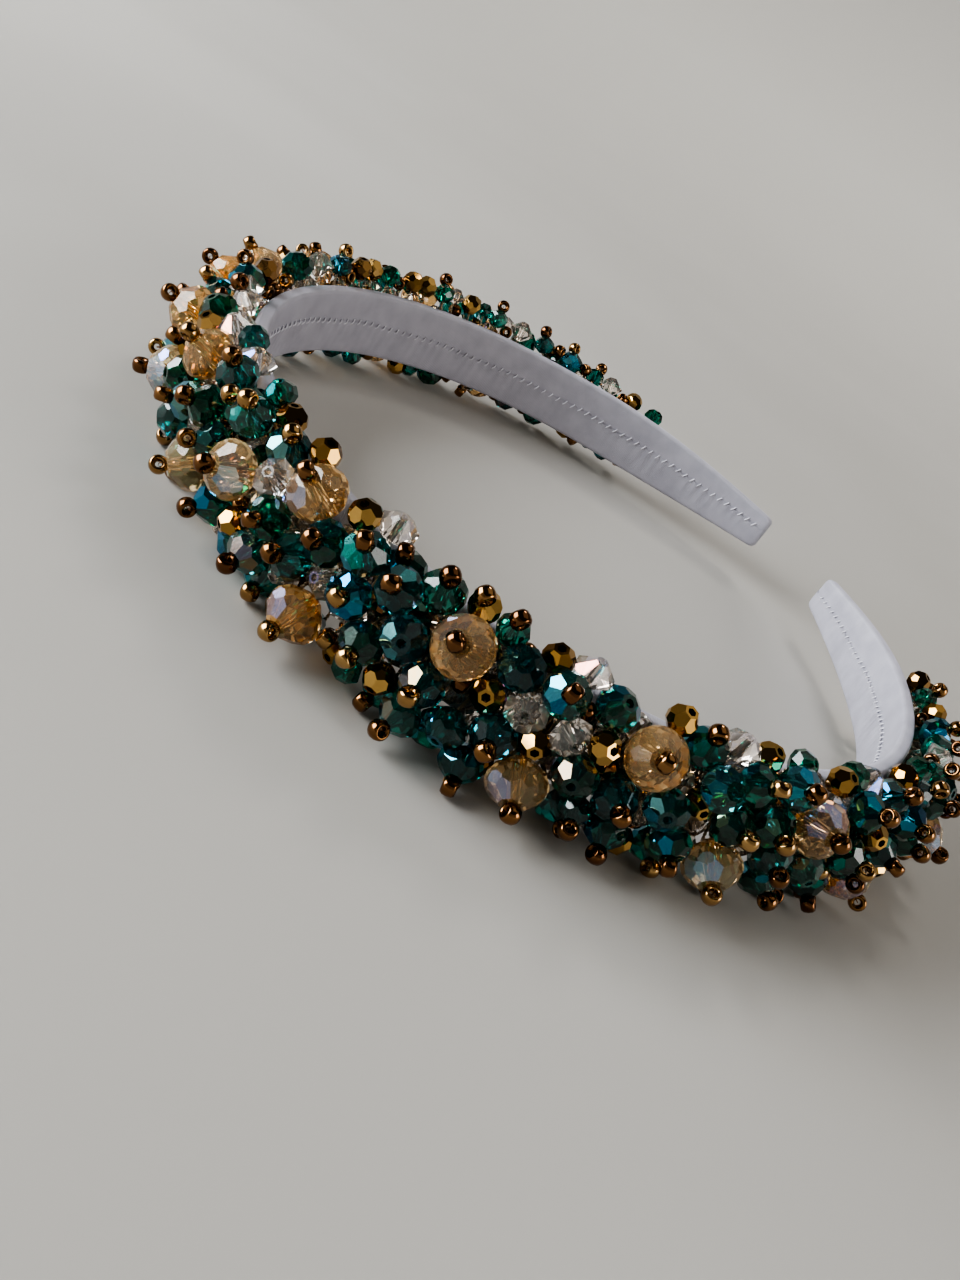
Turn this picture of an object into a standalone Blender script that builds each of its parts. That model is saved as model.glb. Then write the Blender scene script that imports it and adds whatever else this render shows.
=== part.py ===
"""A beaded headband: a springy band wrapped in satin ribbon, with a thick fan of crystal beads.

The band is a horseshoe that lies on its side. It is worked out in its own plane, from the
crown outwards: "along" runs round the horseshoe from the middle of the crown, "outward" is
the distance from the middle of the band's thickness, away from the head, and "upward" is
the distance from the middle of the band's width. The beads stand on wires that leave a
narrow strip of windings on the band's outer face and open like a fan.
"""

from collections import namedtuple
import math

import bmesh
import bpy
import numpy as np

# The band's line, in metres
HALF_LENGTH = 0.194
CROWN_RADIUS = 0.063
SIDE_RADIUS = 0.066
SIDE_SHARE = 0.55
TIP_RADIUS = 0.250

# The band's section
BAND_THICKNESS = 0.0024
BAND_WIDTH = 0.013
TIP_WIDTH = 0.0075
TIP_TAPER = 0.045
BAND_PIECES = 45

# The strip of wire windings that carries the beads
BARE_TIP = 0.034
STRIP_THICKNESS = 0.0008
STRIP_HALF_WIDTH = 0.0034
STRIP_PIECES = 20
WIRE_RADIUS = 0.0004
WIRE_SIDES = 5
FOOT_SPREAD = 0.0028

# Clearances
GAP = 0.0003
CROWDING = 0.00005

# The fan: how far the middle of a bead stands out in front and how far its edge reaches up,
# and how much further crowding may push it outward
FAN_OUTWARD = 0.0080
FAN_UPWARD = 0.0110
FAN_SPRING = 0.0012
FAN_TAPER = 0.050
FAN_TAPER_SHARE = 0.72
WIDEST_FAN = 92
SMALL_BELOW = 0.005

# The beads. Tables and girdles are shares of the diameter and the thickness.
BeadKind = namedtuple("BeadKind", "diameter thickness sides table girdle stands_out ends_at")
KINDS = {
    "champagne": BeadKind(0.0080, 0.0060, 12, 0.56, 0.30, 0.0012, 0.80),
    "teal": BeadKind(0.0058, 0.0046, 10, 0.56, 0.0, 0.0004, 0.86),
    "small_teal": BeadKind(0.0043, 0.0036, 10, 0.52, 0.0, 0.0, 1.0),
    "gold": BeadKind(0.0042, 0.0038, 10, 0.55, 0.0, 0.0, 1.0),
    "bicone": BeadKind(0.0042, 0.0040, 10, 0.25, 0.0, 0.0, 1.0),
}
SUPPORT_SWELL = 1.18

# The chart of the beads that show from the front. The first number counts steps from the
# crown towards the band's end, of which the half length has CHART_STEPS, and the second is
# the angle of the fan in degrees, from straight outward (0) to straight upward (90).
CHART_STEPS = 194
CHART = {
    "champagne": [
        (-12, 70), (-2, 18), (-18, -50), (-36, 48), (-59, 60), (-48, -48), (-73, -36),
        (-83, 48), (-100, -50), (-116, -5), (17, 58), (56, 72), (34, 28), (8, -50), (26, -28),
    ],
    "teal": [
        (-5, 82), (0, -42), (-5, -66), (-11, 15), (-11, -12), (-17, 35), (-16, -14), (-23, 20),
        (-22, 45), (-24, 80), (-30, 78), (-27, 50), (-26, -2), (-31, 22), (-34, -42), (-37, -5),
        (-39, -26), (-44, -3), (-43, -42), (-42, 50), (-48, 60), (-53, 82), (-53, -2), (-57, 8),
        (-60, -48), (-63, 18), (-66, -20), (-66, 84), (-67, 55), (-73, 22), (-71, 58), (-76, 42),
        (-77, 70), (-79, 5), (-82, -45), (-92, 65), (-92, 5), (-104, 40), (-108, 10), (9, 58),
        (4, 62), (8, 32), (1, 42), (4, 8), (15, 5), (16, -38), (13, -60), (29, 62), (44, 80),
        (42, 10),
    ],
    "small_teal": [
        (-18, 88), (-26, -64), (-39, 88), (-79, 86), (-90, 86), (17, 86), (4, 86), (40, 40),
        (76, 88), (90, 88), (104, 88), (118, 88), (130, 88), (-112, 88), (-140, 60), (-150, 30),
    ],
    "gold": [
        (0, 90), (-9, 92), (-6, -25), (-21, 62), (-15, -62), (-31, -32), (-35, 91), (-39, 22),
        (-45, 88), (-48, 10), (-55, 38), (-61, 91), (-74, 91), (-85, 85), (-66, 30), (-105, 88),
        (82, 88), (96, 88), (111, 88), (-155, 85), (25, 45),
    ],
    "bicone": [
        (-24, 91), (-9, 5), (-13, -24), (-19, 3), (-44, 28), (-49, 91), (-51, 22), (-70, 91),
        (-82, 91), (-94, 91), (38, 84), (13, 86), (69, 90), (124, 88),
    ],
}

# How the rest of the fan is filled
FILL_SEED = 11
FILL_TRIES = {"champagne": 90, "teal": 3000, "small_teal": 600, "gold": 1200, "bicone": 2000}
FILL_SQUEEZE = {"champagne": 1.0, "teal": 0.97, "small_teal": 0.94, "gold": 0.94, "bicone": 0.94}
LEAN_SPREAD = 0.0016
MODELLED_SMALL_FROM = 0.80

# How crowding beads settle: shares of each push and of the way home, and their rounds
MAIN_KIND = "champagne"
MAIN_WEIGHT = 3.0
PUSH_SHARE = 0.45
HOMING = 0.03
HOMING_ROUNDS = 185
SETTLE_ROUNDS = 260

# Fineness of the worked-out line
LINE_POINTS = 1601

# Sizes that follow
BAND_FACE = BAND_THICKNESS / 2
BEADED_HALF = HALF_LENGTH - BARE_TIP

MATERIALS = {
    "ribbon": ((0.80, 0.78, 0.84, 1.0), 0.42, 0.0),
    "champagne": ((0.72, 0.47, 0.20, 1.0), 0.06, 0.0),
    "teal": ((0.01, 0.11, 0.10, 1.0), 0.08, 0.1),
}


def clear_scene():
    for thing in list(bpy.data.objects):
        bpy.data.objects.remove(thing, do_unlink=True)


def make_material(name):
    """A Principled material with the colour, roughness and metallic value of the table."""
    colour, roughness, metallic = MATERIALS[name]
    material = bpy.data.materials.new(name)
    material.use_nodes = True
    shader = material.node_tree.nodes["Principled BSDF"]
    shader.inputs["Base Color"].default_value = colour
    shader.inputs["Roughness"].default_value = roughness
    shader.inputs["Metallic"].default_value = metallic
    return material


def horseshoe_line():
    """The band's middle line: (along, points, turning angle), from one tip to the other.

    Its curvature is a quadratic in the square of the share of the half length.
    """
    along = np.linspace(-HALF_LENGTH, HALF_LENGTH, LINE_POINTS)
    share = np.abs(along) / HALF_LENGTH
    powers = np.array([[1, u**2, u**4] for u in (0, SIDE_SHARE, 1)])
    wanted = np.array([1 / CROWN_RADIUS, 1 / SIDE_RADIUS, 1 / TIP_RADIUS])
    flat, square, fourth = np.linalg.solve(powers, wanted)
    curvature = flat + square * share**2 + fourth * share**4
    angle = running_total(curvature, along)
    x = running_total(np.cos(angle), along)
    y = running_total(-np.sin(angle), along)
    return along, np.stack([x, y], axis=1), angle


def running_total(values, along):
    """The integral of values along the line, zero in the middle of the crown."""
    steps = (values[1:] + values[:-1]) / 2 * np.diff(along)
    total = np.concatenate([[0], np.cumsum(steps)])
    return total - total[len(total) // 2]


LINE_ALONG, LINE_POINT, LINE_ANGLE = horseshoe_line()


def angle_at(along):
    return np.interp(along, LINE_ALONG, LINE_ANGLE)


def place(along, outward, upward):
    """The point in the horseshoe's frame, with +Y outward at the crown and +Z upward."""
    angle = angle_at(along)
    x = np.interp(along, LINE_ALONG, LINE_POINT[:, 0]) + np.sin(angle) * outward
    y = np.interp(along, LINE_ALONG, LINE_POINT[:, 1]) + np.cos(angle) * outward
    return np.stack([x, y, np.broadcast_to(upward, np.shape(x))], axis=-1)


def band_width(along):
    """The ribbon's width: full in the middle, narrowing in a round line over the tip."""
    to_tip = min(max((HALF_LENGTH - abs(along)) / TIP_TAPER, 0.0), 1.0)
    return TIP_WIDTH + (BAND_WIDTH - TIP_WIDTH) * math.sin(to_tip * math.pi / 2)


def mesh_object(name, build, material, parent):
    """An object whose mesh the build function fills."""
    shape = bmesh.new()
    build(shape)
    bmesh.ops.recalc_face_normals(shape, faces=shape.faces)
    mesh = bpy.data.meshes.new(name)
    shape.to_mesh(mesh)
    shape.free()
    if material:
        mesh.materials.append(material)
    thing = bpy.data.objects.new(name, mesh)
    thing.parent = parent
    bpy.context.scene.collection.objects.link(thing)
    return thing


def skin(shape, loops):
    """Side faces between neighbouring loops of as many points each."""
    for low, high in zip(loops, loops[1:]):
        for i in range(len(low)):
            j = (i + 1) % len(low)
            shape.faces.new((low[i], low[j], high[j], high[i]))


def new_loops(shape, rings):
    return [[shape.verts.new(point) for point in points] for points in rings]


def loft(shape, rings, coarse_rings=()):
    """A closed solid through the rings, each a list of points, with flat ends.

    Coarse rings come before the others and have half as many points.
    """
    loops = new_loops(shape, rings)
    skin(shape, loops)
    first = loops[0]
    if coarse_rings:
        coarse = new_loops(shape, coarse_rings)
        skin(shape, coarse)
        last = coarse[-1]
        for i in range(len(last)):
            j = (i + 1) % len(last)
            even, odd, after = first[2 * i], first[2 * i + 1], first[2 * j]
            shape.faces.new((last[i], odd, even))
            shape.faces.new((last[i], last[j], odd))
            shape.faces.new((last[j], after, odd))
        first = coarse[0]
    shape.faces.new(first)
    shape.faces.new(loops[-1])


def swept_strip(shape, stations, inner, outer, half_width):
    """A strip of rectangular section along the stations, with a width that may vary."""
    rings = []
    for along in stations:
        half = half_width(along)
        corners = ((inner, -half), (outer, -half), (outer, half), (inner, half))
        rings.append([place(along, out, up) for out, up in corners])
    loft(shape, rings)


def fan_taper(along):
    """How far the fan reaches at this place, as a share of its full reach."""
    to_end = np.clip((BEADED_HALF - abs(along)) / FAN_TAPER, 0, 1)
    return FAN_TAPER_SHARE + (1 - FAN_TAPER_SHARE) * to_end


def fan_place(kind_name, along, degrees):
    """(along, outward, upward) of the middle of a bead of this kind in the open fan."""
    kind = KINDS[kind_name]
    radius = kind.diameter / 2
    angle = math.radians(degrees)
    least = BAND_FACE + GAP + radius
    outward = least + (FAN_OUTWARD + kind.stands_out - radius) * fan_taper(along) * math.cos(angle)
    upward = (FAN_UPWARD - radius) * fan_taper(along) * math.sin(angle)
    return along, outward, upward


def wire_foot(middle, degrees, lean):
    """Where the wire of a bead leaves the strip of windings."""
    outward = BAND_FACE + GAP + STRIP_THICKNESS / 2
    return middle[0] + lean, outward, FOOT_SPREAD * math.sin(math.radians(degrees))


class Beads:
    """The beads' kinds, middles and wire feet, placed as (along, outward, upward)."""

    def __init__(self):
        self.kinds = []
        self.middles = np.zeros((0, 3))
        self.feet = np.zeros((0, 3))
        self.wide = np.zeros(0)
        self.thick = np.zeros(0)

    def add(self, kind_name, middle, foot):
        kind = KINDS[kind_name]
        self.kinds.append(kind_name)
        self.middles = np.vstack([self.middles, middle])
        self.feet = np.vstack([self.feet, foot])
        self.wide = np.append(self.wide, kind.diameter / 2)
        self.thick = np.append(self.thick, kind.thickness / 2 * SUPPORT_SWELL)

    def axes(self):
        axes = self.middles - self.feet
        return axes / np.linalg.norm(axes, axis=1, keepdims=True)


def true_difference(middles, others):
    """The difference between beads' places, with its true length along the curved band."""
    difference = middles - others
    outward = (middles[..., 1] + others[..., 1]) / 2
    difference[..., 0] *= 1 + outward / CROWN_RADIUS
    return difference


def reach(axes, wide, thick, direction):
    """How far a bead reaches in a direction, taken as a spheroid round it."""
    cosine = (axes * direction).sum(axis=-1)
    return np.sqrt(wide**2 * (1 - cosine**2) + thick**2 * cosine**2)


def fits(kind_name, middle, foot, beads):
    """Whether a new bead finds room among the beads, given some squeeze."""
    new = Beads()
    new.add(kind_name, middle, foot)
    away = true_difference(beads.middles, new.middles)
    distance = np.linalg.norm(away, axis=1)
    direction = away / distance[:, None]
    room = reach(beads.axes(), beads.wide, beads.thick, direction)
    room += reach(new.axes(), new.wide, new.thick, direction)
    return bool((distance > room * FILL_SQUEEZE[kind_name]).all())


def add_charted_beads(beads, chance):
    step = HALF_LENGTH / CHART_STEPS
    for kind_name, rows in CHART.items():
        for steps, degrees in rows:
            middle = fan_place(kind_name, steps * step, degrees)
            lean = chance.uniform(-LEAN_SPREAD, LEAN_SPREAD)
            beads.add(kind_name, middle, wire_foot(middle, degrees, lean))


def add_filling_beads(beads, chance):
    """Fills the fan where the chart leaves room, the largest beads first."""
    for kind_name, tries in FILL_TRIES.items():
        furthest = BEADED_HALF * KINDS[kind_name].ends_at
        for _ in range(tries):
            along = chance.uniform(-furthest, furthest)
            degrees = chance.uniform(-WIDEST_FAN, WIDEST_FAN)
            middle = fan_place(kind_name, along, degrees)
            lean = chance.uniform(-LEAN_SPREAD, LEAN_SPREAD)
            foot = wire_foot(middle, degrees, lean)
            if fits(kind_name, middle, foot, beads):
                beads.add(kind_name, middle, foot)


def crowding_push(beads, share, clear):
    """How far each bead's crowding neighbours push it."""
    away = true_difference(beads.middles[:, None], beads.middles[None])
    distance = np.linalg.norm(away, axis=2)
    np.fill_diagonal(distance, 1.0)
    direction = away / distance[..., None]
    room = reach(beads.axes()[:, None], beads.wide[:, None], beads.thick[:, None], direction)
    shortfall = np.maximum(room + room.T + clear - distance, 0)
    np.fill_diagonal(shortfall, 0)
    return (direction * (shortfall * share)[..., None]).sum(axis=1)


def keep_in_fan(beads, stands_out):
    """Keeps the beads off the band and the windings, and level with the fan's lower side."""
    rise = reach(beads.axes(), beads.wide, beads.thick, np.array([0, 0, 1.0]))
    depth = reach(beads.axes(), beads.wide, beads.thick, np.array([0, 1.0, 0]))
    over_strip = np.abs(beads.middles[:, 2]) < STRIP_HALF_WIDTH + GAP + rise
    nearest = BAND_FACE + GAP + depth + np.where(over_strip, STRIP_THICKNESS + GAP, 0)
    furthest = np.maximum(nearest, FAN_OUTWARD + stands_out + FAN_SPRING)
    beads.middles[:, 1] = np.clip(beads.middles[:, 1], nearest, furthest)
    top = FAN_UPWARD + FAN_SPRING - rise
    beads.middles[:, 2] = np.clip(beads.middles[:, 2], rise - FAN_UPWARD, top)


def settle(beads):
    """Pushes crowding beads apart, as beads on springy wires push each other."""
    homes = beads.middles.copy()
    leans = beads.feet[:, 0] - homes[:, 0]
    side = np.where(homes[:, 0] > 0, 1, -1)
    stands_out = np.array([KINDS[name].stands_out for name in beads.kinds])
    main = np.array([name == MAIN_KIND for name in beads.kinds])
    weight = beads.wide**2 * np.where(main, MAIN_WEIGHT, 1.0)
    share = PUSH_SHARE * weight[None, :] / (weight[None, :] + weight[:, None])
    apart = main[:, None] | main[None, :] | (side[:, None] != side[None, :])
    clear = np.where(apart, GAP, CROWDING)
    first_foot = GAP + WIRE_RADIUS
    last_foot = BEADED_HALF - 2 * WIRE_RADIUS
    for number in range(SETTLE_ROUNDS):
        homing = HOMING * max(0.0, 1 - number / HOMING_ROUNDS)
        beads.middles += crowding_push(beads, share, clear) + homing * (homes - beads.middles)
        keep_in_fan(beads, stands_out)
        along = side * (beads.middles[:, 0] + leans)
        beads.feet[:, 0] = side * np.clip(along, first_foot, last_foot)


def bead_layout():
    """All the beads where they settle."""
    beads = Beads()
    chance = np.random.default_rng(FILL_SEED)
    add_charted_beads(beads, chance)
    add_filling_beads(beads, chance)
    settle(beads)
    return beads


def bead_frame(middle, foot):
    """The bead's middle and its axis and two side directions in the horseshoe's frame."""
    centre = place(*middle)
    root = place(*foot)
    axis = (centre - root) / np.linalg.norm(centre - root)
    side = np.cross(axis, [0, 0, 1.0])
    if np.linalg.norm(side) < 0.1:
        side = np.cross(axis, [0, 1.0, 0])
    side /= np.linalg.norm(side)
    return centre, root, axis, side, np.cross(axis, side)


def ring(centre, axis, side, other, height, radius, count):
    """A ring of points round the bead's axis."""
    points = []
    for i in range(count):
        angle = 2 * math.pi * i / count
        offset = side * math.cos(angle) + other * math.sin(angle)
        points.append(centre + axis * height + offset * radius)
    return points


def bead_profile(kind):
    """Heights and radii of the cut bead, from its lower table to its upper one."""
    radius = kind.diameter / 2
    half = kind.thickness / 2
    table = radius * kind.table
    if kind.girdle:
        girdle = half * kind.girdle
        return [(-half, table), (-girdle, radius), (girdle, radius), (half, table)]
    return [(-half, table), (0.0, radius), (half, table)]


def cut_rings(kind, frame):
    centre, _, axis, side, other = frame
    return [ring(centre, axis, side, other, h, r, kind.sides) for h, r in bead_profile(kind)]


def wire_rings(kind, frame, gap):
    """The wire's rings, from the windings to this gap below the bead."""
    centre, root, axis, side, other = frame
    top = -kind.thickness / 2 - gap
    foot = ring(root, axis, side, other, 0, WIRE_RADIUS, WIRE_SIDES)
    return [foot, ring(centre, axis, side, other, top, WIRE_RADIUS, WIRE_SIDES)]


def build_band(material, parent):
    """The ribbon-wrapped band, blunt at both tips."""
    stations = np.linspace(-HALF_LENGTH, HALF_LENGTH, BAND_PIECES + 1)

    def build(shape):
        swept_strip(shape, stations, -BAND_FACE, BAND_FACE, lambda along: band_width(along) / 2)

    return mesh_object("band", build, material, parent)


def in_field(beads, number, side):
    """Whether a bead is modelled on this half: the small ones are only at the fan's end."""
    along = beads.middles[number][0] * side
    small = KINDS[beads.kinds[number]].diameter < SMALL_BELOW
    return along > (BEADED_HALF * MODELLED_SMALL_FROM if small else 0)


def build_field(name, side, beads, material, parent):
    """One half of the bead field: the strip of windings with its wires and beads as one body.

    A main stone is a piece of its own, so here it has only its wire.
    """
    stations = side * np.linspace(GAP / 2, BEADED_HALF, STRIP_PIECES + 1)
    inner = BAND_FACE + GAP
    chosen = [i for i in range(len(beads.kinds)) if in_field(beads, i, side)]

    def build_strip(shape):
        swept_strip(shape, stations, inner, inner + STRIP_THICKNESS, lambda along: STRIP_HALF_WIDTH)

    def build_beads(shape):
        for i in chosen:
            kind = KINDS[beads.kinds[i]]
            frame = bead_frame(beads.middles[i], beads.feet[i])
            if beads.kinds[i] == MAIN_KIND:
                loft(shape, wire_rings(kind, frame, GAP))
            else:
                loft(shape, cut_rings(kind, frame)[1:], wire_rings(kind, frame, 0))

    field = mesh_object(name, build_strip, material, parent)
    wired_beads = mesh_object(name + "_beads", build_beads, material, parent)
    wired_beads.hide_render = True
    wired_beads.display_type = "WIRE"
    union = field.modifiers.new("fuse", "BOOLEAN")
    union.operation = "UNION"
    union.object = wired_beads
    union.use_self = True
    return [field, wired_beads]


def build_main_stones(beads, material, parent):
    """The main stones, numbered along the band from its right end to its left one."""
    chosen = [i for i, name in enumerate(beads.kinds) if name == MAIN_KIND]
    chosen.sort(key=lambda i: beads.middles[i][0])
    made = []
    for number, i in enumerate(chosen, 1):
        rings = cut_rings(KINDS[MAIN_KIND], bead_frame(beads.middles[i], beads.feet[i]))
        name = f"rondelle_{number:02d}"
        made.append(mesh_object(name, lambda shape, rings=rings: loft(shape, rings), material, parent))
    return made


def stand_on_origin(empty, things):
    """Moves the parent so that the bottom centre of the things' box is the origin."""
    corners = np.array([v.co for thing in things for v in thing.data.vertices])
    low, high = corners.min(axis=0), corners.max(axis=0)
    empty.location = (-(low[0] + high[0]) / 2, -(low[1] + high[1]) / 2, -low[2])


def main():
    clear_scene()
    empty = bpy.data.objects.new("headband", None)
    bpy.context.scene.collection.objects.link(empty)
    materials = {name: make_material(name) for name in MATERIALS}
    beads = bead_layout()
    things = [build_band(materials["ribbon"], empty)]
    things += build_field("bead_field_right", -1, beads, materials["teal"], empty)
    things += build_field("bead_field_left", 1, beads, materials["teal"], empty)
    things += build_main_stones(beads, materials["champagne"], empty)
    stand_on_origin(empty, things)


main()
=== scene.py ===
"""The looks of the beaded headband: a satin-wrapped band with a thick fan of wired crystal beads.

Everything is in metres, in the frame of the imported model. The beads' places are worked out
as in the solid model, in the plane of the horseshoe: "along" runs round it from the middle
of the crown, "outward" is the distance away from the head and "upward" the distance from
the middle of the band's width.
"""

from collections import namedtuple
import math

import bmesh
import bpy
from mathutils import Matrix, Vector
import numpy as np


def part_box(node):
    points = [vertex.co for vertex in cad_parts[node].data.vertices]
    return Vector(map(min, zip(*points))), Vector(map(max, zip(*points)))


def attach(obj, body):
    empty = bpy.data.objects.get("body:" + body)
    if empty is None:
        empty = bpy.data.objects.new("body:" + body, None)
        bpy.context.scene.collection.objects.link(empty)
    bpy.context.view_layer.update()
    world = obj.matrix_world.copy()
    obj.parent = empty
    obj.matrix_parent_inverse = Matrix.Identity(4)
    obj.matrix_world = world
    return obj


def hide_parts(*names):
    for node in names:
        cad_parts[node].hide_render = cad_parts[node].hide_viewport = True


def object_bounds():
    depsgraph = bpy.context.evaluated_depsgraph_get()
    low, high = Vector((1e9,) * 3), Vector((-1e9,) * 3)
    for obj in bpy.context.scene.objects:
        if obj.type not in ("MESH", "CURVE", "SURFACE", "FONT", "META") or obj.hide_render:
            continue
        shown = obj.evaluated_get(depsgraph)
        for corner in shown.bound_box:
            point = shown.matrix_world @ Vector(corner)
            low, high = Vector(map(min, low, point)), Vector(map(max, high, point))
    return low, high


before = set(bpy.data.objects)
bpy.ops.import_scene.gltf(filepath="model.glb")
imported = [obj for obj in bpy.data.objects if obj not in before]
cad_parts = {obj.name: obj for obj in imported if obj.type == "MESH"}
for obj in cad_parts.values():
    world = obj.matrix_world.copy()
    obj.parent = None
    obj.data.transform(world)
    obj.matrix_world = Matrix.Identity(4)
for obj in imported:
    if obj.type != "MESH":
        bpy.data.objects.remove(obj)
CAD_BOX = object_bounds()

# The camera, fitted to the photograph
CAMERA_PLACE = (-0.1061, 0.1482, 0.0771)
CAMERA_FORWARD = (0.5270, -0.7130, -0.4625)
CAMERA_UP = (0.6833, 0.0319, 0.7294)
CAMERA_LENS_MM = 31.18
CAMERA_SENSOR_MM = 36.0
CAMERA_CLIP = (0.005, 30.0)

# The band's line
HALF_LENGTH = 0.194
CROWN_RADIUS = 0.063
SIDE_RADIUS = 0.066
SIDE_SHARE = 0.55
TIP_RADIUS = 0.250
LINE_POINTS = 1601

# The band's section
BAND_THICKNESS = 0.0024
BAND_WIDTH = 0.013
TIP_WIDTH = 0.0075
TIP_TAPER = 0.045
BAND_PIECES = 45
BAND_FACE = BAND_THICKNESS / 2

# The strip of wire windings that carries the beads
BARE_TIP = 0.034
BEADED_HALF = HALF_LENGTH - BARE_TIP
STRIP_THICKNESS = 0.0008
STRIP_HALF_WIDTH = 0.0034
WIRE_RADIUS = 0.0004
FOOT_SPREAD = 0.0028

# Clearances
GAP = 0.0003
CROWDING = 0.00005

# The fan of beads
FAN_OUTWARD = 0.0080
FAN_UPWARD = 0.0110
FAN_SPRING = 0.0012
FAN_TAPER = 0.050
FAN_TAPER_SHARE = 0.72
WIDEST_FAN = 92

# The beads: their sizes, how far they stand out of the fan and go towards the band's ends,
# how close they may come when they fill the fan, and the share that a seed bead caps
BeadKind = namedtuple("BeadKind", "diameter thickness stands_out ends_at squeeze capped")
KINDS = {
    "champagne": BeadKind(0.0080, 0.0060, 0.0012, 0.80, 1.0, 0.97),
    "teal": BeadKind(0.0058, 0.0046, 0.0004, 0.86, 0.97, 0.85),
    "small_teal": BeadKind(0.0043, 0.0036, 0.0, 1.0, 0.94, 0.80),
    "gold": BeadKind(0.0042, 0.0038, 0.0, 1.0, 0.94, 0.12),
    "bicone": BeadKind(0.0042, 0.0040, 0.0, 1.0, 0.94, 0.15),
    "chink_clear": BeadKind(0.0032, 0.0030, 0.0, 0.97, 0.92, 0.10),
    "chink_teal": BeadKind(0.0030, 0.0026, 0.0, 0.97, 0.92, 0.25),
    "chink_seed": BeadKind(0.0024, 0.0018, 0.0, 0.97, 0.92, 0.0),
}
SUPPORT_SWELL = 1.18

# How the smallest kinds fill the chinks that are left in the fan
CHINK_TRIES = {"chink_clear": 2600, "chink_teal": 2600, "chink_seed": 2200}
CHINK_DEPTH = (0.35, 1.0)

# The chart of the beads that show from the front: steps from the crown towards the band's
# end, of which the half length has CHART_STEPS, and the angle of the fan in degrees
CHART_STEPS = 194
CHART = {
    "champagne": [
        (-12, 70), (-2, 18), (-18, -50), (-36, 48), (-59, 60), (-48, -48), (-73, -36),
        (-83, 48), (-100, -50), (-116, -5), (17, 58), (56, 72), (34, 28), (8, -50), (26, -28),
    ],
    "teal": [
        (-5, 82), (0, -42), (-5, -66), (-11, 15), (-11, -12), (-17, 35), (-16, -14), (-23, 20),
        (-22, 45), (-24, 80), (-30, 78), (-27, 50), (-26, -2), (-31, 22), (-34, -42), (-37, -5),
        (-39, -26), (-44, -3), (-43, -42), (-42, 50), (-48, 60), (-53, 82), (-53, -2), (-57, 8),
        (-60, -48), (-63, 18), (-66, -20), (-66, 84), (-67, 55), (-73, 22), (-71, 58), (-76, 42),
        (-77, 70), (-79, 5), (-82, -45), (-92, 65), (-92, 5), (-104, 40), (-108, 10), (9, 58),
        (4, 62), (8, 32), (1, 42), (4, 8), (15, 5), (16, -38), (13, -60), (29, 62), (44, 80),
        (42, 10),
    ],
    "small_teal": [
        (-18, 88), (-26, -64), (-39, 88), (-79, 86), (-90, 86), (17, 86), (4, 86), (40, 40),
        (76, 88), (90, 88), (104, 88), (118, 88), (130, 88), (-112, 88), (-140, 60), (-150, 30),
    ],
    "gold": [
        (0, 90), (-9, 92), (-6, -25), (-21, 62), (-15, -62), (-31, -32), (-35, 91), (-39, 22),
        (-45, 88), (-48, 10), (-55, 38), (-61, 91), (-74, 91), (-85, 85), (-66, 30), (-105, 88),
        (82, 88), (96, 88), (111, 88), (-155, 85), (25, 45),
    ],
    "bicone": [
        (-24, 91), (-9, 5), (-13, -24), (-19, 3), (-44, 28), (-49, 91), (-51, 22), (-70, 91),
        (-82, 91), (-94, 91), (38, 84), (13, 86), (69, 90), (124, 88),
    ],
}

# How the rest of the fan is filled, and how crowding beads settle
FILL_SEED = 11
FILL_TRIES = {"champagne": 90, "teal": 3000, "small_teal": 600, "gold": 1200, "bicone": 2000}
LEAN_SPREAD = 0.0016
MAIN_KIND = "champagne"
MAIN_WEIGHT = 3.0
PUSH_SHARE = 0.45
HOMING = 0.03
HOMING_ROUNDS = 185
SETTLE_ROUNDS = 260

# The cut of each kind: rows of facets on each half. The slant is the angle between a
# facet's normal and the bead's axis, and the share tells how deep the facet is ground,
# as a share of the distance at which it would touch a spheroid of the bead's size.
FacetRow = namedtuple("FacetRow", "facets slant share turn")
CUTS = {
    "champagne": (
        FacetRow(10, 42, 0.955, 0.0), FacetRow(10, 64, 0.955, 0.5), FacetRow(10, 84, 0.975, 0.0),
    ),
    "teal": (FacetRow(8, 42, 0.95, 0.0), FacetRow(8, 72, 0.96, 0.5)),
    "small_teal": (FacetRow(7, 42, 0.94, 0.0), FacetRow(7, 74, 0.95, 0.5)),
    "gold": (FacetRow(6, 52, 0.93, 0.0), FacetRow(6, 82, 0.95, 0.5)),
    "bicone": (FacetRow(8, 47, 0.93, 0.0),),
    "chink_clear": (FacetRow(8, 47, 0.93, 0.0),),
    "chink_teal": (FacetRow(7, 52, 0.93, 0.0), FacetRow(7, 80, 0.95, 0.5)),
}

# Kinds whose two halves are turned half a facet against each other
INTERLOCKED = {"champagne", "teal", "small_teal", "gold"}

# The block that a bead is ground from, in diameters, and what tells its two tables
ROUGH_BLOCK = 1.5
TABLE_COSINE = 0.999

# Seed beads that cap the wires
SEED_RADIUS = 0.00134
SEED_HALF_LENGTH = 0.00096
SEED_HOLE = 0.00042
SEED_SUNK = 0.00030
SEED_SIDES = 18
SEED_WALL_POINTS = 10
SEED_SQUARENESS = 0.35
SEED_BITE = 0.0005
SEED_RISE = 0.0005
FLOOR_CLEAR = 0.00005
TILT_TRIES = 12
TILT_STEP = 0.86

# Half of the loop that holds a seed bead: shares of its reach and of the bead's radius
LOOP_WIRE = 0.00007
LOOP_REACH = SEED_HALF_LENGTH + LOOP_WIRE
LOOP_HALF = [(0.15, -1.1), (0.7, -0.95), (1.0, -0.6), (1.0, -0.25), (0.8, -0.08), (0.4, 0.0)]

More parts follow.
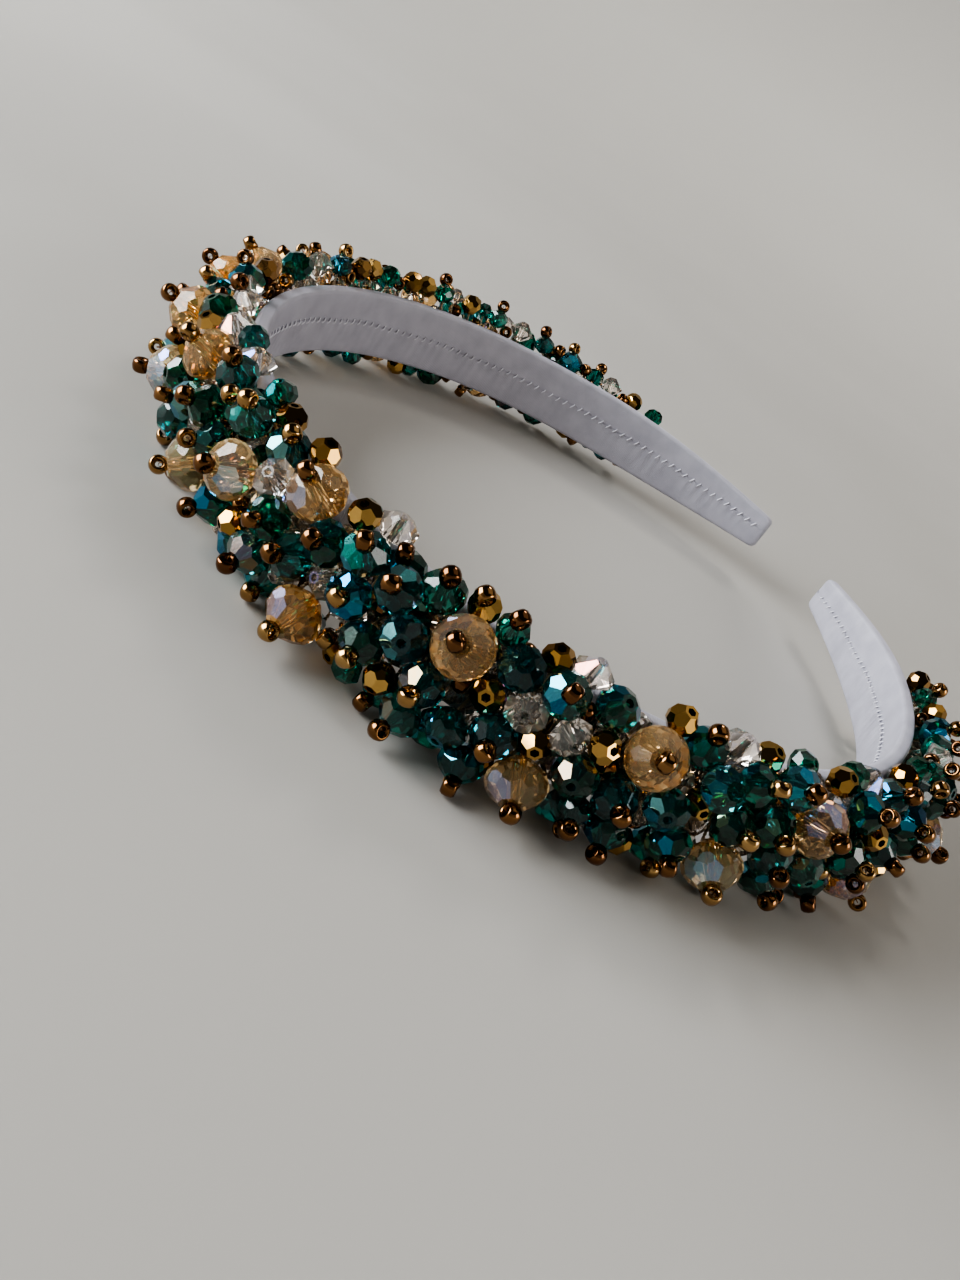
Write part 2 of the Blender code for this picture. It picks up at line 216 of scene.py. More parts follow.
# The stems of twisted wire. The wire's lowest tones are kept for the loops.
FINE_WIRE = 0.00013
FINE_WIRE_SIDES = 5
TWIST_PITCH = 0.0011
TWIST_RADIUS = 0.00017
TWIST_POINTS = 6
STEM_FEWEST_POINTS = 4
SHORTEST_STEM = TWIST_PITCH / 4
STEM_TONES = (0.2, 1.0)

# The windings. The two powers square off a turn over its thickness and its width.
WINDING_PITCH = 0.00062
WINDING_POINTS = 10
WINDING_WIRE = FINE_WIRE * 1.3
WINDING_SIDES = 4
WINDING_POWERS = (0.4, 0.9)

# The band's two sides, and the kinds whose beads join the piece of another kind
SIDE_NAMES = {1: "left", -1: "right"}
PILES = {"small_teal": "teal", "chink_teal": "teal", "chink_clear": "bicone"}

# How the beads vary
LOOKS_SEED = 29
TILT_SPREAD = 0.10
LIT_FROM = Vector((0.60, 0.74, 0.30)).normalized()

# Each kind's hole, the share of its beads that carry a coating, where the coating fades out
# and where it is full (as the cosine to its middle), and its films in nanometres
Finish = namedtuple("Finish", "hole coated coat_span films")
FINISHES = {
    "champagne": Finish(0.00055, 0.85, (0.72, 0.90), (124, 130, 137)),
    "teal": Finish(0.00050, 0.80, (0.15, 0.80), (142, 146, 150, 94, 166, 288)),
    "small_teal": Finish(0.00042, 0.35, (0.15, 0.80), (146, 158, 290)),
    "gold": Finish(0.00045, 0.0, (0.5, 0.9), (200,)),
    "bicone": Finish(0.00042, 0.35, (0.30, 0.80), (140, 150, 240, 285)),
    "chink_clear": Finish(0.00035, 0.3, (0.30, 0.80), (145, 270)),
    "chink_teal": Finish(0.00035, 0.4, (0.15, 0.80), (148, 160, 290)),
}

# The least coat with a film, the film's rise under a full coat, and its spread by facet
FILM_FROM = 0.2
FILM_RISE = 16
FILM_SPREAD = 16

# How far a coating's middle strays from the light, and its angle from a main stone's axis. Turned to
# the light, the coating's pale colour sits on each bead's lit side: a painted reflection on a real
# coating.
COAT_WANDER = 0.5
MAIN_COAT_TILT = 50

# How each sort of cut glass looks. The stops are ramps over the bead's tone.
CrystalLook = namedtuple(
    "CrystalLook",
    "name stops coat_stops coat_cover coat_metal transmission roughness ior film_ior",
)
CRYSTAL_LOOKS = {
    "champagne": CrystalLook(
        "champagne_crystal",
        [(0.0, (1.0, 0.60, 0.235)), (0.5, (1.0, 0.67, 0.33)), (1.0, (1.0, 0.75, 0.44))],
        [(0.0, (0.74, 0.75, 0.90)), (1.0, (0.76, 0.80, 1.0))],
        0.4, 0.16, 0.88, 0.004, 1.52, 2.25,
    ),
    "teal": CrystalLook(
        "teal_crystal",
        [(0.0, (0.004, 0.16, 0.095)), (0.35, (0.004, 0.23, 0.145)), (0.7, (0.005, 0.16, 0.18)),
         (1.0, (0.035, 0.34, 0.24))],
        [(0.0, (0.04, 0.17, 0.25)), (0.5, (0.06, 0.21, 0.42)), (1.0, (0.20, 0.34, 0.43))],
        0.8, 0.22, 0.94, 0.012, 1.60, 2.20,
    ),
    "bicone": CrystalLook(
        "clear_crystal",
        [(0.0, (0.94, 0.85, 0.78)), (0.6, (0.97, 0.91, 0.85)), (1.0, (0.95, 0.82, 0.69))],
        [(0.0, (0.66, 0.58, 0.84)), (1.0, (0.84, 0.80, 0.90))],
        0.4, 0.06, 0.94, 0.008, 1.42, 2.0,
    ),
}

# The grain in the glass, and its least roughness and the range as shares of the look's own
GLASS_GRAIN = 900.0
GLASS_ROUGH = (0.4, 1.6)

# How each sort of metal looks. Wear is the share of the worn colour.
MetalLook = namedtuple("MetalLook", "name roughness wear stops")
METAL_LOOKS = {
    "gold": MetalLook(
        "plated_gold", 0.05, 0.25,
        [(0.0, (0.36, 0.21, 0.06)), (0.6, (0.66, 0.44, 0.16)), (1.0, (0.22, 0.12, 0.045))],
    ),
    "seed": MetalLook(
        "bronze_seed", 0.10, 0.16,
        [(0.0, (0.14, 0.066, 0.032)), (0.6, (0.27, 0.145, 0.062)), (1.0, (0.47, 0.31, 0.14))],
    ),
    "wire": MetalLook(
        "fine_wire", 0.30, 0.2,
        [(0.0, (0.16, 0.08, 0.035)), (0.2, (0.50, 0.41, 0.30)), (1.0, (0.64, 0.54, 0.41))],
    ),
}
METAL_GRAIN = 1400.0
METAL_LEAST_ROUGH = 0.5
WORN_METAL = (0.30, 0.13, 0.05)

# The satin, its ribs and its slubs, and the seam's thread
SATIN_STOPS = [(0.30, (0.375, 0.365, 0.415)), (0.70, (0.45, 0.44, 0.49))]
SATIN_SHEEN = (0.86, 0.84, 1.0)
SATIN_RIBS = 900.0
SATIN_SLUBS = 260.0
THREAD_STOPS = [(0.30, (0.66, 0.65, 0.71)), (0.70, (0.80, 0.79, 0.84))]
THREAD_GRAIN = 5200.0

# The wound ribbon
RIBBON_STATIONS = 760
RIBBON_SHARP_DEGREES = 30
RIBBON_CORNER = 0.0007
CORNER_LIMIT = 0.9
CORNER_POINTS = 5

# The band's corners in turn: where the arc starts, in degrees, and its side of the band
CORNERS = ((180, -1, 1), (90, 1, 1), (0, 1, -1), (-90, -1, -1))

# Points between the seam and the corners, as shares of the way. The overlap's upper layer
# also has its lift there, as a share of the step.
LOWER_LAYER = (0.25, 0.5, 0.75)
OUTER_FACE = (0.5, 0.0, -0.5)
UPPER_LAYER = ((0.75, 0.36), (0.5, 0.36), (0.25, 0.6), (0.06, 0.6))

# The overlap's folded edge: points past the seam, with their shares of the step
FOLDED_EDGE = ((0.0004, 1.0), (0.0006, 0.9))
OVERLAP_STEP = 0.00016

# How the overlap's edge wanders: the height, rate and start of each wave
OVERLAP_WAVES = ((0.0004, 42.0, 0.0), (0.00012, 310.0, 1.0))

# The puckers that the seam draws up, and the drift of their pitch and height
PUCKER_PITCH = 0.0021
PUCKER_HEIGHT = 0.00022
PUCKER_DRAW = 0.00022
PUCKER_DRIFT, DRIFT_RATE = 1.1, 130.0
PUCKER_FADE, FADE_RATE = 0.25, 510.0

# The blunt tips, and the extra sections that crowd towards them
TIP_ROUNDING = 0.0016
TIP_NARROWING = 0.0009
TIP_THINNEST = 0.45
TIP_STATIONS = 12
TIP_CROWDING = 1.6
TIP_LENGTH = 0.006

# The stitches that hold the overlap
STITCH_PITCH = 0.0019
STITCH_RADIUS = 0.00013
STITCH_REACH = 0.00055
STITCH_SLANT = 0.00035
STITCH_RISE = 0.00030
STITCH_SIDES = 6
STITCH_MIDDLE = 0.0005
STITCH_POINTS = (-1.0, -0.7, 0.0, 0.7, 1.0)

# The floor, which turns up into a wall all round. Its colour grows paler far away: painted light
# that makes up for the lamps lighting it less there
FLOOR_FLAT = 0.5
FLOOR_RINGS = 4
FLOOR_SIDES = 72
WALL_BEND = 1.3
WALL_START = 0.08
WALL_RINGS = 20
FLOOR_STOPS = [(0.35, (0.47, 0.45, 0.42)), (0.65, (0.51, 0.49, 0.46))]
# Painted light: the far floor's paler colour, where the lamps light it less
FLOOR_FAR_PAINTED_LIGHT = (0.80, 0.78, 0.74)
FLOOR_MOTTLE = 6.0
FLOOR_PAINTED_LIGHT_STOPS = [(0.15, (0.0, 0.0, 0.0)), (1.0, (1.0, 1.0, 1.0))]

# The lights: direction, distance, size, power and colour. They all face one point.
LIGHTS = {
    "window": (LIT_FROM, 0.85, (0.70, 0.60), 15.0, (0.93, 0.97, 1.0)),
    "ceiling": ((-0.1, -0.3, 1.0), 1.5, (1.3, 1.3), 2.8, (1.0, 0.97, 0.93)),
    "far_side": ((0.55, -0.75, 1.1), 1.4, (0.3, 0.3), 2.6, (1.0, 0.97, 0.93)),
    "fill": ((-0.75, -0.40, 0.38), 1.1, (0.5, 0.5), 3.4, (1.0, 0.97, 0.94)),
}
LIGHTS_MEET = Vector((0.0, 0.0, 0.01))
WORLD_COLOUR = (0.60, 0.58, 0.55)
WORLD_STRENGTH = 0.07
VIEW_LOOK = "AgX - High Contrast"

# Two directions with a cross product this short count as the same
NEARLY_PARALLEL = 0.1


def running_total(values, along):
    """The integral of values along the line, zero in the middle of the crown."""
    steps = (values[1:] + values[:-1]) / 2 * np.diff(along)
    total = np.concatenate([[0], np.cumsum(steps)])
    return total - total[len(total) // 2]


def horseshoe_line():
    """The band's middle line: (along, points, turning angle), from one tip to the other."""
    along = np.linspace(-HALF_LENGTH, HALF_LENGTH, LINE_POINTS)
    share = np.abs(along) / HALF_LENGTH
    powers = np.array([[1, u**2, u**4] for u in (0, SIDE_SHARE, 1)])
    wanted = np.array([1 / CROWN_RADIUS, 1 / SIDE_RADIUS, 1 / TIP_RADIUS])
    flat, square, fourth = np.linalg.solve(powers, wanted)
    curvature = flat + square * share**2 + fourth * share**4
    angle = running_total(curvature, along)
    x = running_total(np.cos(angle), along)
    y = running_total(-np.sin(angle), along)
    return along, np.stack([x, y], axis=1), angle


LINE_ALONG, LINE_POINT, LINE_ANGLE = horseshoe_line()


def flat_place(along, outward, upward):
    """The point in the horseshoe's own frame, with +Y outward at the crown and +Z upward."""
    angle = np.interp(along, LINE_ALONG, LINE_ANGLE)
    x = np.interp(along, LINE_ALONG, LINE_POINT[:, 0]) + np.sin(angle) * outward
    y = np.interp(along, LINE_ALONG, LINE_POINT[:, 1]) + np.cos(angle) * outward
    return np.stack([x, y, np.broadcast_to(upward, np.shape(x))], axis=-1)


def horseshoe_origin():
    """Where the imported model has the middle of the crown's line, read from its band."""
    low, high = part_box("band")
    crown_corner = flat_place(HALF_LENGTH / BAND_PIECES, BAND_FACE, 0.0)[1]
    return np.array([(low.x + high.x) / 2, high.y - crown_corner, (low.z + high.z) / 2])


ORIGIN = horseshoe_origin()


def place(along, outward, upward):
    """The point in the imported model's frame."""
    return flat_place(along, outward, upward) + ORIGIN


def band_width(along):
    """The ribbon's width: full in the middle, narrowing in a round line to the tip."""
    to_tip = min(max((HALF_LENGTH - abs(along)) / TIP_TAPER, 0.0), 1.0)
    return TIP_WIDTH + (BAND_WIDTH - TIP_WIDTH) * math.sin(to_tip * math.pi / 2)


def fan_taper(along):
    """How far the fan reaches at this place, as a share of its full reach."""
    to_end = np.clip((BEADED_HALF - abs(along)) / FAN_TAPER, 0, 1)
    return FAN_TAPER_SHARE + (1 - FAN_TAPER_SHARE) * to_end


def fan_place(kind_name, along, degrees):
    """(along, outward, upward) of the middle of a bead of this kind in the open fan."""
    kind = KINDS[kind_name]
    radius = kind.diameter / 2
    angle = math.radians(degrees)
    least = BAND_FACE + GAP + radius
    outward = least + (FAN_OUTWARD + kind.stands_out - radius) * fan_taper(along) * math.cos(angle)
    upward = (FAN_UPWARD - radius) * fan_taper(along) * math.sin(angle)
    return along, outward, upward


def wire_foot(middle, degrees, chance):
    """Where a bead's wire, which leans a little, leaves the strip of windings."""
    outward = BAND_FACE + GAP + STRIP_THICKNESS / 2
    lean = chance.uniform(-LEAN_SPREAD, LEAN_SPREAD)
    return middle[0] + lean, outward, FOOT_SPREAD * math.sin(math.radians(degrees))


class Beads:
    """The beads' kinds, middles and wire feet, placed as (along, outward, upward)."""

    def __init__(self):
        self.kinds = []
        self.middles = np.zeros((0, 3))
        self.feet = np.zeros((0, 3))
        self.wide = np.zeros(0)
        self.thick = np.zeros(0)

    def add(self, kind_name, middle, foot):
        kind = KINDS[kind_name]
        self.kinds.append(kind_name)
        self.middles = np.vstack([self.middles, middle])
        self.feet = np.vstack([self.feet, foot])
        self.wide = np.append(self.wide, kind.diameter / 2)
        self.thick = np.append(self.thick, kind.thickness / 2 * SUPPORT_SWELL)

    def axes(self):
        axes = self.middles - self.feet
        return axes / np.linalg.norm(axes, axis=1, keepdims=True)


def true_difference(middles, others):
    """The difference between beads' places, with its true length along the curved band."""
    difference = middles - others
    outward = (middles[..., 1] + others[..., 1]) / 2
    difference[..., 0] *= 1 + outward / CROWN_RADIUS
    return difference


def reach(axes, wide, thick, direction):
    """How far a bead reaches in a direction, taken as a spheroid round it."""
    cosine = (axes * direction).sum(axis=-1)
    return np.sqrt(wide**2 * (1 - cosine**2) + thick**2 * cosine**2)


def fits(kind_name, middle, foot, beads):
    """Whether a new bead finds room among the beads."""
    new = Beads()
    new.add(kind_name, middle, foot)
    away = true_difference(beads.middles, new.middles)
    distance = np.linalg.norm(away, axis=1)
    direction = away / distance[:, None]
    room = reach(beads.axes(), beads.wide, beads.thick, direction)
    room += reach(new.axes(), new.wide, new.thick, direction)
    return bool((distance > room * KINDS[kind_name].squeeze).all())


def add_charted_beads(beads, chance):
    """Puts the beads of the chart where they show from the front."""
    step = HALF_LENGTH / CHART_STEPS
    for kind_name, rows in CHART.items():
        for steps, degrees in rows:
            middle = fan_place(kind_name, steps * step, degrees)
            beads.add(kind_name, middle, wire_foot(middle, degrees, chance))


def chance_place(kind_name, chance):
    """Any place in the open fan for a bead of this kind, and its angle there in degrees."""
    furthest = BEADED_HALF * KINDS[kind_name].ends_at
    along = chance.uniform(-furthest, furthest)
    degrees = chance.uniform(-WIDEST_FAN, WIDEST_FAN)
    return fan_place(kind_name, along, degrees), degrees


def add_if_it_fits(beads, kind_name, middle, degrees, chance):
    foot = wire_foot(middle, degrees, chance)
    if fits(kind_name, middle, foot, beads):
        beads.add(kind_name, middle, foot)


def add_filling_beads(beads, chance):
    """Fills the fan where the chart leaves room, the largest beads first."""
    for kind_name, tries in FILL_TRIES.items():
        for _ in range(tries):
            middle, degrees = chance_place(kind_name, chance)
            add_if_it_fits(beads, kind_name, middle, degrees, chance)


def crowding_push(beads, share, clear):
    """How far each bead's crowding neighbours push it."""
    away = true_difference(beads.middles[:, None], beads.middles[None])
    distance = np.linalg.norm(away, axis=2)
    np.fill_diagonal(distance, 1.0)
    direction = away / distance[..., None]
    room = reach(beads.axes()[:, None], beads.wide[:, None], beads.thick[:, None], direction)
    shortfall = np.maximum(room + room.T + clear - distance, 0)
    np.fill_diagonal(shortfall, 0)
    return (direction * (shortfall * share)[..., None]).sum(axis=1)


def keep_in_fan(beads, stands_out):
    """Keeps the beads off the band and the windings, and level with the fan's lower side."""
    rise = reach(beads.axes(), beads.wide, beads.thick, np.array([0, 0, 1.0]))
    depth = reach(beads.axes(), beads.wide, beads.thick, np.array([0, 1.0, 0]))
    over_strip = np.abs(beads.middles[:, 2]) < STRIP_HALF_WIDTH + GAP + rise
    nearest = BAND_FACE + GAP + depth + np.where(over_strip, STRIP_THICKNESS + GAP, 0)
    furthest = np.maximum(nearest, FAN_OUTWARD + stands_out + FAN_SPRING)
    beads.middles[:, 1] = np.clip(beads.middles[:, 1], nearest, furthest)
    top = FAN_UPWARD + FAN_SPRING - rise
    beads.middles[:, 2] = np.clip(beads.middles[:, 2], rise - FAN_UPWARD, top)


def settle(beads):
    """Pushes crowding beads apart, as beads on springy wires push each other."""
    homes = beads.middles.copy()
    leans = beads.feet[:, 0] - homes[:, 0]
    side = np.where(homes[:, 0] > 0, 1, -1)
    stands_out = np.array([KINDS[name].stands_out for name in beads.kinds])
    main = np.array([name == MAIN_KIND for name in beads.kinds])
    weight = beads.wide**2 * np.where(main, MAIN_WEIGHT, 1.0)
    share = PUSH_SHARE * weight[None, :] / (weight[None, :] + weight[:, None])
    apart = main[:, None] | main[None, :] | (side[:, None] != side[None, :])
    clear = np.where(apart, GAP, CROWDING)
    first_foot = GAP + WIRE_RADIUS
    last_foot = BEADED_HALF - 2 * WIRE_RADIUS
    for number in range(SETTLE_ROUNDS):
        homing = HOMING * max(0.0, 1 - number / HOMING_ROUNDS)
        beads.middles += crowding_push(beads, share, clear) + homing * (homes - beads.middles)
        keep_in_fan(beads, stands_out)
        along = side * (beads.middles[:, 0] + leans)
        beads.feet[:, 0] = side * np.clip(along, first_foot, last_foot)


def bead_layout():
    """All the beads where they settle."""
    beads = Beads()
    chance = np.random.default_rng(FILL_SEED)
    add_charted_beads(beads, chance)
    add_filling_beads(beads, chance)
    settle(beads)
    return beads


def fill_chinks(beads, chance):
    """Puts the smallest beads wherever the settled fan leaves room, also deep in it."""
    for kind_name, tries in CHINK_TRIES.items():
        least = BAND_FACE + GAP + KINDS[kind_name].diameter / 2
        for _ in range(tries):
            (along, outward, upward), degrees = chance_place(kind_name, chance)
            depth = chance.uniform(*CHINK_DEPTH)
            middle = (along, least + (outward - least) * depth, upward * depth)
            add_if_it_fits(beads, kind_name, middle, degrees, chance)


def unit(vector):
    return vector / np.linalg.norm(vector)


def side_of(axis):
    """A direction square to the axis."""
    side = np.cross(axis, [0, 0, 1.0])
    if np.linalg.norm(side) < NEARLY_PARALLEL:
        side = np.cross(axis, [0, 1.0, 0])
    return unit(side)


def turned_frame(axis, spin):
    """The three directions of a bead whose own Z is the axis, turned round it by spin."""
    side = side_of(axis)
    other = np.cross(axis, side)
    turned = side * math.cos(spin) + other * math.sin(spin)
    return np.stack([turned, np.cross(axis, turned), axis])


def add_object(name, data):
    """A new object in the scene."""
    thing = bpy.data.objects.new(name, data)
    bpy.context.scene.collection.objects.link(thing)
    return thing


class Pile:
    """A joined mesh in the making: its points, its faces and what each face remembers."""

    def __init__(self):
        self.points = []
        self.faces = []
        self.notes = {}
        self.count = 0

    def add(self, points, faces, **notes):
        """Adds a shape. A note is one value for the shape or one for each face."""
        self.points.append(np.asarray(points, float))
        self.faces += [[self.count + i for i in face] for face in faces]
        for name, value in notes.items():
            self.notes.setdefault(name, []).append(np.broadcast_to(value, len(faces)))
        self.count += len(points)

    def make(self, name, material, slot, smooth=False):
        """Makes the piece and says what it rides on. The colour slot is not used."""
        mesh = bpy.data.meshes.new(name)
        mesh.from_pydata(np.concatenate(self.points).tolist(), [], self.faces)
        mesh.polygons.foreach_set("use_smooth", [smooth] * len(self.faces))
        for note, values in self.notes.items():
            layer = mesh.attributes.new(note, "FLOAT", "FACE")
            layer.data.foreach_set("value", np.concatenate(values).astype(np.float32))
        mesh.materials.append(material)
        mesh.update()
        piece = add_object(name, mesh)
        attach(piece, "root")
        return piece


def grind(rough, normal, distance):
    """Takes off all that lies past a plane, and leaves a flat facet there."""
    geometry = rough.verts[:] + rough.edges[:] + rough.faces[:]
    cut = bmesh.ops.bisect_plane(
        rough, geom=geometry, plane_co=normal * distance, plane_no=normal, clear_outer=True
    )
    edges = [thing for thing in cut["geom_cut"] if isinstance(thing, bmesh.types.BMEdge)]
    if edges:
        bmesh.ops.edgeloop_fill(rough, edges=edges)


def drill(rough, radius):
    """Opens the hole between the two tables."""
    tables = [face for face in rough.faces if abs(face.normal.z) > TABLE_COSINE]
    for table in tables:
        middle = table.calc_center_median()
        inradius = min(
            (edge.verts[0].co + edge.verts[1].co - 2 * middle).length / 2 for edge in table.edges
        )
        bmesh.ops.inset_individual(rough, faces=[table], thickness=inradius - radius)
    rims = [edge for table in tables for edge in table.edges]
    bmesh.ops.delete(rough, geom=tables, context="FACES_ONLY")
    bmesh.ops.bridge_loops(rough, edges=rims)


def grind_half(rough, kind_name, upward):
    """Grinds the table and the rows of facets on one half of a bead."""
    kind = KINDS[kind_name]
    half = kind.thickness / 2
    shift = 0.5 if upward < 0 and kind_name in INTERLOCKED else 0.0
    grind(rough, Vector((0, 0, upward)), half)
    for row in CUTS[kind_name]:
        slant = math.radians(row.slant)
        across, along_axis = math.sin(slant), math.cos(slant)
        distance = math.hypot(kind.diameter / 2 * across, half * along_axis)
        for i in range(row.facets):
            angle = 2 * math.pi * (i + row.turn + shift) / row.facets
            x, y = across * math.cos(angle), across * math.sin(angle)
            grind(rough, Vector((x, y, upward * along_axis)), distance * row.share)


def cut_crystal(kind_name):
    """(points, faces, normals) of a bead of this kind, ground from a block."""
    rough = bmesh.new()
    bmesh.ops.create_cube(rough, size=KINDS[kind_name].diameter * ROUGH_BLOCK)
    for upward in (1, -1):
        grind_half(rough, kind_name, upward)
    rough.normal_update()
    drill(rough, FINISHES[kind_name].hole)
    bmesh.ops.recalc_face_normals(rough, faces=rough.faces)
    rough.verts.ensure_lookup_table()
    points = np.array([v.co for v in rough.verts])
    faces = [[v.index for v in face.verts] for face in rough.faces]
    normals = np.array([face.normal for face in rough.faces])
    rough.free()
    return points, faces, normals


def ring_faces(rings, count, closed=False):
    """The quads between rings of points that follow each other."""
    faces = []
    for ring in range(rings if closed else rings - 1):
        here, after = ring * count, (ring + 1) % rings * count
        for i in range(count):
            k = (i + 1) % count
            faces.append([here + i, after + i, after + k, here + k])
    return faces


def seed_wall():
    """(radius, z) round the wall of a seed bead, a little squared and flat at its ends."""
    ring = (SEED_RADIUS + SEED_HOLE) / 2
    half_wall = (SEED_RADIUS - SEED_HOLE) / 2
    wall = []
    for i in range(SEED_WALL_POINTS):
        angle = 2 * math.pi * i / SEED_WALL_POINTS
        square = 1.0 / max(abs(math.cos(angle)), abs(math.sin(angle))) ** SEED_SQUARENESS
        z = SEED_HALF_LENGTH * math.sin(angle) * square
        z = min(max(z, -SEED_HALF_LENGTH), SEED_HALF_LENGTH)
        wall.append((ring + half_wall * math.cos(angle), z))
    return wall


def seed_shape():
    """(points, faces) of a small round bead with a wide hole along its own Z."""
    wall = seed_wall()
    points = []
    for j in range(SEED_SIDES):
        turn = 2 * math.pi * j / SEED_SIDES
        points += [(r * math.cos(turn), r * math.sin(turn), z) for r, z in wall]
    return np.array(points), ring_faces(SEED_SIDES, len(wall), closed=True)


def tube(path, radius, sides):
    """(points, faces) of a wire that follows the path."""
    path = np.asarray(path, float)
    tangents = np.gradient(path, axis=0)
    tangents /= np.linalg.norm(tangents, axis=1, keepdims=True)
    side = side_of(tangents[0])
    points = []
    for centre, tangent in zip(path, tangents):
        side = unit(side - tangent * side.dot(tangent))
        other = np.cross(tangent, side)
        for i in range(sides):
            angle = 2 * math.pi * i / sides
            points.append(centre + radius * (side * math.cos(angle) + other * math.sin(angle)))
    faces = [[a, d, c, b] for a, b, c, d in ring_faces(len(path), sides)]
    faces.append(list(range(sides))[::-1])
    faces.append([len(points) - sides + i for i in range(sides)])
    return points, faces


def coat_of(normals, coat_direction, span):
    """How strongly each facet carries a bead's coating and the painted reflection that goes with it,
    in a smooth step over the span.
    """
    none, full = span
    facing = np.clip((normals @ coat_direction - none) / (full - none), 0, 1)
    return facing * facing * (3 - 2 * facing)


def seed_middle(centre, axis, half):
    """The middle of the seed bead on a bead's outer end."""
    return centre + axis * (half + SEED_RADIUS - SEED_SUNK)


class Dressing:
    """Builds the beads, seeds and wires of one side of the band."""

    def __init__(self, shapes, chance):
        self.shapes = shapes
        self.chance = chance
        self.seed = seed_shape()
        self.piles = {}

    def pile(self, name):
        return self.piles.setdefault(name, Pile())

    def coated_lit_side(self, kind_name, axes):
        """The middle of a bead's coated side, mostly towards the window, so its pale coat is painted
        on the lit side as a reflection.
        """
        direction = self.chance.normal(size=3) * COAT_WANDER + np.array(LIT_FROM)
        if kind_name == MAIN_KIND:
            tilt = math.radians(MAIN_COAT_TILT)
            sideways = unit(direction - axes[2] * direction.dot(axes[2]))
            return sideways * math.sin(tilt) + axes[2] * math.cos(tilt)
        return unit(direction)

    def put_bead(self, pile, kind_name, centre, axes):
        """Adds one cut bead, with its own tone and its own coated side, turned to the light as a
        painted reflection.
        """
        points, faces, normals = self.shapes[kind_name]
        finish = FINISHES[kind_name]
        direction = self.coated_lit_side(kind_name, axes)
        # Painted reflection: the coat's mask is strongest on the facets that face the light
        coat = coat_of(normals @ axes, direction, finish.coat_span)
        coat = coat * (self.chance.uniform() < finish.coated)
        flat = self.chance.uniform(-0.5, 0.5, size=len(faces))
        film = self.chance.choice(finish.films) + FILM_RISE * coat + FILM_SPREAD * flat
        film = np.where(coat > FILM_FROM, film, 0.0)
        pile.add(centre + points @ axes, faces, tone=self.chance.uniform(), coat=coat, film=film)

    def put_stem(self, root, centre, axis, half):
        """The twisted wire between the windings and a bead."""
        end = centre - axis * half
        length = np.linalg.norm(end - root)
        if length < SHORTEST_STEM:
            return
        side = side_of(axis)
        other = np.cross(axis, side)
        count = max(STEM_FEWEST_POINTS, int(length / TWIST_PITCH * TWIST_POINTS))
        for phase in (0.0, math.pi):
            path = []
            for share in np.linspace(0, 1, count):
                angle = phase + share * length / TWIST_PITCH * 2 * math.pi
                offset = side * math.cos(angle) + other * math.sin(angle)
                path.append(root + (end - root) * share + offset * TWIST_RADIUS)
            wire = tube(path, FINE_WIRE, FINE_WIRE_SIDES)
            self.pile("wire").add(*wire, tone=self.chance.uniform(*STEM_TONES))

    def put_seed(self, centre, axis, half):
        """A seed bead that lies on its side over the bead's hole, held by a loop of wire."""
        spin = self.chance.uniform(0, 2 * math.pi)
        hole = turned_frame(axis, spin)[0]
        middle = seed_middle(centre, axis, half)
        lying = turned_frame(hole, self.chance.uniform(0, 2 * math.pi))
        points, faces = self.seed
        self.pile("seed").add(middle + points @ lying, faces, tone=self.chance.uniform())
        loop = LOOP_HALF + [(-x, y) for x, y in LOOP_HALF[::-1]]
        path = [middle + hole * (x * LOOP_REACH) + axis * (y * SEED_RADIUS) for x, y in loop]
        self.pile("wire").add(*tube(path, LOOP_WIRE, FINE_WIRE_SIDES), tone=0.0)


def material_nodes(name):
    """A new material, its node tree and its Principled shader."""
    material = bpy.data.materials.new(name)
    material.use_nodes = True
    tree = material.node_tree
    return material, tree, tree.nodes["Principled BSDF"]


def set_inputs(tree, node, inputs):
    """Sets inputs of a node, each to a plain value or to another node's output."""
    for name, value in inputs.items():
        if isinstance(value, bpy.types.NodeSocket):
            tree.links.new(value, node.inputs[name])
        else:
            node.inputs[name].default_value = value


def attribute(tree, name):
    node = tree.nodes.new("ShaderNodeAttribute")
    node.attribute_name = name
    return node.outputs["Fac"]


def ramp(tree, value, stops):
    """A colour ramp over the value, with (place, colour) stops."""
    node = tree.nodes.new("ShaderNodeValToRGB")
    while len(node.color_ramp.elements) < len(stops):
        node.color_ramp.elements.new(0.5)
    for element, (where, colour) in zip(node.color_ramp.elements, stops):
        element.position = where
        element.color = (*colour, 1.0)
    set_inputs(tree, node, {"Fac": value})
    return node.outputs["Color"]


def mixed(tree, share, first, second):
    """The mix of two colours by a share, through the inputs that colours use."""
    node = tree.nodes.new("ShaderNodeMix")
    node.data_type = "RGBA"
    set_inputs(tree, node, {0: share, 6: first, 7: second})
    return node.outputs[2]


def scaled(tree, value, factor, plus=0.0):
    node = tree.nodes.new("ShaderNodeMath")
    node.operation = "MULTIPLY_ADD"
    set_inputs(tree, node, {0: value, 1: factor, 2: plus})
    return node.outputs[0]


def object_place(tree):
    return tree.nodes.new("ShaderNodeTexCoord").outputs["Object"]


def noise(tree, scale, detail=2.0):
    node = tree.nodes.new("ShaderNodeTexNoise")
    set_inputs(tree, node, {"Vector": object_place(tree), "Scale": scale, "Detail": detail})
    return node.outputs["Fac"]


def bump(tree, height, strength, distance):
    node = tree.nodes.new("ShaderNodeBump")
    set_inputs(tree, node, {"Height": height, "Strength": strength, "Distance": distance})
    return node.outputs["Normal"]


